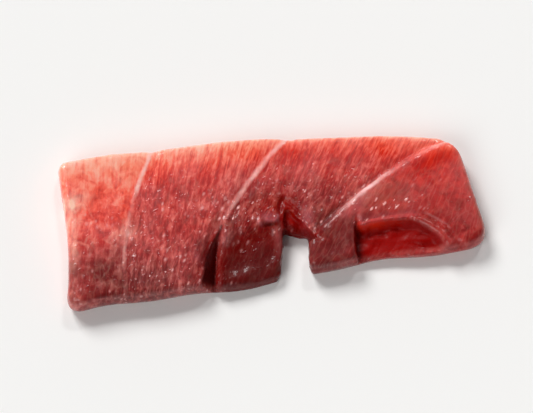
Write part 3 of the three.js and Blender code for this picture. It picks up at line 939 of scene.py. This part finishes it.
def muscle_colour(tree, flesh):
    """The fibres' own colours: fattier where fat lies between them, leaner where the muscle is solid."""
    streaks = [(flesh[name], weight) for name, weight in STREAK_WEIGHTS.items()]
    contrast = with_swings(tree, 0.0, [
        (flesh["cloud"], CLOUD_WEIGHT),
        (flesh["mottles"], flesh["mottled"]),
        (with_swings(tree, 0.5, streaks), flesh["streaky"]),
        (flesh["comb"], flesh["combed"]),
    ])
    inputs = {0: contrast, 1: LEAN_SWING, 2: flesh["lean"]}
    lean = add_node(tree, "Math", inputs, operation="MULTIPLY_ADD")[0]
    colour = add_node(tree, "ValToRGB", {"Fac": lean})["Color"]
    stops = colour.node.color_ramp.elements
    while len(stops) < len(LEAN_SHADES):
        stops.new(0.5)
    for stop, (where, shade) in zip(stops, LEAN_SHADES):
        stop.position = where
        stop.color = linear(shade)
    layers = []
    for amount, shade in ((flesh["pinkness"], FATTY_SHADE), (SOLIDNESS, SOLID_SHADE)):
        inputs = {0: contrast, 1: amount}
        layer = add_node(tree, "Math", inputs, operation="MULTIPLY", use_clamp=True)[0]
        layers.append((layer, shade))
    return painted(tree, colour, layers)


def marbled(tree, flesh, colour):
    """A colour with fat laid over it: between the fibres, in veins that fade in and out, in hairlines
    round the strands where the flesh is whole, and in flecks. Along the rims the pale is partly painted
    highlight, and the flecks are partly painted glints."""
    fat_and_highlight = flesh["fat"]
    for name, weight in LINE_WEIGHTS.items():
        inputs = {0: flesh[name], 1: weight, 2: fat_and_highlight}
        fat_and_highlight = add_node(tree, "Math", inputs, operation="MULTIPLY_ADD", use_clamp=True)[0]
    return painted(tree, colour, [(fat_and_highlight, FAT_AND_HIGHLIGHT_SHADE), (flesh["flecks"], FLECK_AND_GLINT_SHADE)])


def flushed(tree, flesh, colour):
    """A colour that is stronger in the patches that hold more blood."""
    inputs = {0: flesh["vivid"], 1: VIVIDNESS, 2: flesh["flush"]}
    flush = add_node(tree, "Math", inputs, operation="MULTIPLY_ADD")[0]
    return add_node(tree, "HueSaturation", {"Color": colour, "Saturation": flush})["Color"]


def sinew_layers(tree, flesh):
    """Layers of white for the sinews, partly painted highlight, and how white each place is with them."""
    apart = add_node(tree, "SeparateXYZ", {0: flesh["sinews"]})
    whiteness = add_node(tree, "SeparateXYZ", {0: flesh["sinew_white_and_highlight"]})
    layers = []
    white = 0.0
    for axis, (half, soft, shade) in zip("XYZ", SINEW_LINES):
        off = add_node(tree, "Math", {0: apart[axis], 1: flesh["sway"]}, operation="ADD")[0]
        off = add_node(tree, "Math", {0: off}, operation="ABSOLUTE")[0]
        inputs = {"Value": off, "From Min": half * MM, "From Max": (half + soft) * MM}
        inputs.update({"To Min": whiteness[axis], "To Max": 0.0})
        line = add_node(tree, "MapRange", inputs, interpolation_type="SMOOTHSTEP")["Result"]
        line = add_node(tree, "Math", {0: line, 1: flesh["patchy"]}, operation="MULTIPLY")[0]
        white = add_node(tree, "Math", {0: white, 1: line}, operation="MAXIMUM")[0]
        layers.append((line, shade))
    return layers, white


def fine_relief(tree, parts):
    """Normals of the fine surface: of the flesh, and of the wet film on it."""
    normals = []
    for rises in ({**PROUD, **FIBRES_PROUD}, {**PROUD, **FILM_PROUD}):
        height = 0.0
        for name, rise in rises.items():
            inputs = {0: parts[name], 1: rise * MM, 2: height}
            height = add_node(tree, "Math", inputs, operation="MULTIPLY_ADD")[0]
        inputs = {"Height": height, "Distance": 1.0, "Strength": 1.0}
        normals.append(add_node(tree, "Bump", inputs)["Normal"])
    return normals


def raw_tuna_belly(facts):
    """Raw fatty tuna: wet muscle with fine streaks of fat between its fibres, bedded in white sinew.
    The eye gets a soft translucent red with paler hairlines, under a thin wet gloss that glints."""
    material = bpy.data.materials.new("raw_tuna_belly")
    material.use_nodes = True
    tree = material.node_tree
    tree.nodes.clear()
    flesh = {}
    for name, values in facts.items():
        known = add_node(tree, "Attribute", attribute_name=name)
        flesh[name] = known["Vector" if values.ndim == 2 else "Fac"]
    add_patterns(tree, flesh)

    # Torn flesh is wet and a deeper red, with painted shade in the narrow places and painted light where it
    # bulges at the scoop's rim, and its rims are pale, partly as painted highlight
    torn = [(flesh[name], shade) for name, shade in TORN_SHADES.items()]
    colour = painted(tree, muscle_colour(tree, flesh), torn)
    colour = flushed(tree, flesh, marbled(tree, flesh, colour))
    sinews, white = sinew_layers(tree, flesh)
    colour = painted(tree, colour, sinews)
    flesh_normal, film_normal = fine_relief(tree, {**flesh, "sinews": white})
    shader = add_node(tree, "BsdfPrincipled", {
        "Base Color": colour, "Roughness": flesh["roughness"], "Normal": flesh_normal,
        "IOR": 1.4, "Specular IOR Level": 0.12,
        "Subsurface Weight": 0.4, "Subsurface Radius": (1.0, 0.3, 0.2), "Subsurface Scale": 1.2 * MM,
        "Coat Weight": flesh["wet film"], "Coat Normal": film_normal,
        "Coat Roughness": 0.16, "Coat IOR": 1.4,
    })
    add_node(tree, "OutputMaterial", {"Surface": shader["BSDF"]})
    return material


# Inputs of the relief that are numbers, and what each is set to
RELIEF_INPUTS = {
    "Bundle spacing": 1.9 * MM, "Bundle length": 5.5 * MM, "Bundle rise": 0.2 * MM, "Unevenness": 0.5 * MM,
    "Seed": 4.0,
}
LUMP_SIZE = 11
LOOSE_ABOVE = (0.3, 1.8)  # heights where the relief starts, and where it is full


def flesh_relief():
    """Node tree that raises the bundles of fibre along the grain of the flesh."""
    tree = bpy.data.node_groups.new("flesh relief", "GeometryNodeTree")
    sockets = {}
    kinds = {"Geometry": "Geometry", **dict.fromkeys(RELIEF_INPUTS, "Float"), "Flesh": "Material"}
    for name, kind in kinds.items():
        made = tree.interface.new_socket(name, in_out="INPUT", socket_type="NodeSocket" + kind)
        sockets[name] = made.identifier
    tree.interface.new_socket("Geometry", in_out="OUTPUT", socket_type="NodeSocketGeometry")
    given = add_node(tree, "NodeGroupInput")
    kind = "GeometryNodeInputNamedAttribute"
    grain = add_node(tree, kind, {"Name": "grain"}, data_type="FLOAT_VECTOR")["Attribute"]
    loose = add_node(tree, kind, {"Name": "loose"}, data_type="FLOAT")["Attribute"]
    inputs = {"X": given["Bundle spacing"], "Y": given["Bundle length"], "Z": given["Bundle length"]}
    size = add_node(tree, "CombineXYZ", inputs)[0]
    along = add_node(tree, "VectorMath", {0: grain, 1: size}, operation="DIVIDE")[0]
    inputs = {"Vector": along, "W": given["Seed"], "Scale": 1.0, "Detail": 1.0, "Distortion": 0.4}
    bundles = add_node(tree, "TexNoise", inputs, noise_dimensions="4D")[0]
    place = add_node(tree, "GeometryNodeInputPosition")[0]
    inputs = {"Vector": place, "W": given["Seed"], "Scale": 1 / (LUMP_SIZE * MM)}
    lumps = add_node(tree, "TexNoise", inputs, noise_dimensions="4D")[0]
    swings = [(bundles, given["Bundle rise"]), (lumps, given["Unevenness"])]
    inputs = {0: with_swings(tree, 0.0, swings), 1: loose}
    rise = add_node(tree, "Math", inputs, operation="MULTIPLY")[0]
    normal = add_node(tree, "GeometryNodeInputNormal")[0]
    offset = add_node(tree, "VectorMath", {0: normal, "Scale": rise}, operation="SCALE")[0]
    inputs = {"Geometry": given["Geometry"], "Offset": offset}
    raised = add_node(tree, "GeometryNodeSetPosition", inputs)[0]
    whole = add_node(tree, "GeometryNodeRealizeInstances", {"Geometry": raised})[0]
    inputs = {"Geometry": whole, "Material": given["Flesh"]}
    dressed = add_node(tree, "GeometryNodeSetMaterial", inputs)[0]
    add_node(tree, "NodeGroupOutput", {"Geometry": dressed})
    return tree, sockets


def tuna_slice():
    mesh = cut_slab()
    points = relaxed(points_of(mesh), mesh, RELAXED_TIMES)
    points[:, 2] = np.maximum(points[:, 2], 0)
    facts = flesh_facts(points)
    lo, hi = (np.array(corner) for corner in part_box("tuna_slice"))
    middle = (points.min(axis=0) + points.max(axis=0)) / 2
    shift = np.array([(lo[0] + hi[0]) / 2 - middle[0] * MM, (lo[1] + hi[1]) / 2 - middle[1] * MM, 0])
    mesh.vertices.foreach_set("co", (points * MM + shift).ravel())
    # The relief leaves the foot flat and rises above it
    for name, values in {**facts, "loose": grow(points[:, 2], *LOOSE_ABOVE)}.items():
        kind = "FLOAT_VECTOR" if values.ndim == 2 else "FLOAT"
        field = "vector" if values.ndim == 2 else "value"
        mesh.attributes.new(name, kind, "POINT").data.foreach_set(field, values.ravel())
    mesh.update()
    rough = put_in("rough slice", mesh)

    tree, sockets = flesh_relief()
    relief = rough.modifiers.new("relief", "NODES")
    relief.node_group = tree
    for name, value in {**RELIEF_INPUTS, "Flesh": raw_tuna_belly(facts)}.items():
        relief[sockets[name]] = value
    finished = put_in("tuna_belly_slice", baked_mesh(rough))
    bpy.data.objects.remove(rough)
    for face in finished.data.polygons:
        face.use_smooth = True
    return finished


def studio_floor():
    """Matt white studio paper, far wider than the picture. The eye gets a plain pale ground, on which
    nothing shines and only the soft shadow falls."""
    material = bpy.data.materials.new("matt_white_paper")
    material.use_nodes = True
    shader = material.node_tree.nodes["Principled BSDF"]
    shader.inputs["Base Color"].default_value = linear("#f4f3f1")
    shader.inputs["Roughness"].default_value = 0.8
    half = 12.0  # metres
    points = np.array([(-half, -half, 0), (half, -half, 0), (half, half, 0), (-half, half, 0)])
    floor = make_object("studio_floor", points, [[0, 1, 2, 3]])
    floor.data.materials.append(material)


def direction(azimuth, elevation):
    """Unit vector from the slice towards a place, with azimuth 0 in front of it."""
    a, e = math.radians(azimuth), math.radians(elevation)
    return Vector((math.sin(a) * math.cos(e), -math.cos(a) * math.cos(e), math.sin(e)))


def soft_light(name, azimuth, elevation, spread, strength):
    """A large light far off. It fills a disc spread degrees wide in the sky and lights the floor evenly."""
    lamp = bpy.data.lights.new(name, "SUN")
    lamp.angle = math.radians(spread)
    lamp.energy = strength
    put_in(name, lamp).rotation_euler = direction(azimuth, elevation).to_track_quat("Z", "Y").to_euler()


def studio_air():
    """Pale walls all round the studio under a dark ceiling, so that wet flesh seen from above keeps
    its depth."""
    world = bpy.data.worlds.new("studio air")
    world.use_nodes = True
    tree = world.node_tree
    way = add_node(tree, "TexCoord")["Generated"]
    up = add_node(tree, "SeparateXYZ", {0: way})["Z"]
    inputs = {"Value": up, "From Min": 0.02, "From Max": 0.5, "To Min": 0.97, "To Max": 0.1}
    strength = add_node(tree, "MapRange", inputs, interpolation_type="SMOOTHSTEP")["Result"]
    background = tree.nodes["Background"]
    background.inputs["Color"].default_value = linear("#f4f5f7")
    tree.links.new(strength, background.inputs["Strength"])
    bpy.context.scene.world = world


def camera(azimuth, elevation, distance, lens, aim):
    data = bpy.data.cameras.new("camera")
    data.lens = lens
    data.clip_start = 0.01
    eye = put_in("camera", data)
    back = direction(azimuth, elevation)
    eye.location = Vector(aim) + back * distance
    eye.rotation_euler = (-back).to_track_quat("-Z", "Y").to_euler()
    bpy.context.scene.camera = eye


flesh = tuna_slice()
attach(flesh, "root")
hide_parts("tuna_slice")

studio_floor()
soft_light("key from behind", azimuth=205, elevation=44, spread=25, strength=2.25)
soft_light("fill from the front", azimuth=-50, elevation=42, spread=38, strength=1.15)
soft_light("glint", azimuth=150, elevation=50, spread=8, strength=0.45)
studio_air()
bpy.context.scene.view_settings.view_transform = "Standard"

camera(azimuth=-10, elevation=70, distance=0.83, lens=205, aim=(0, 0, 0.004))
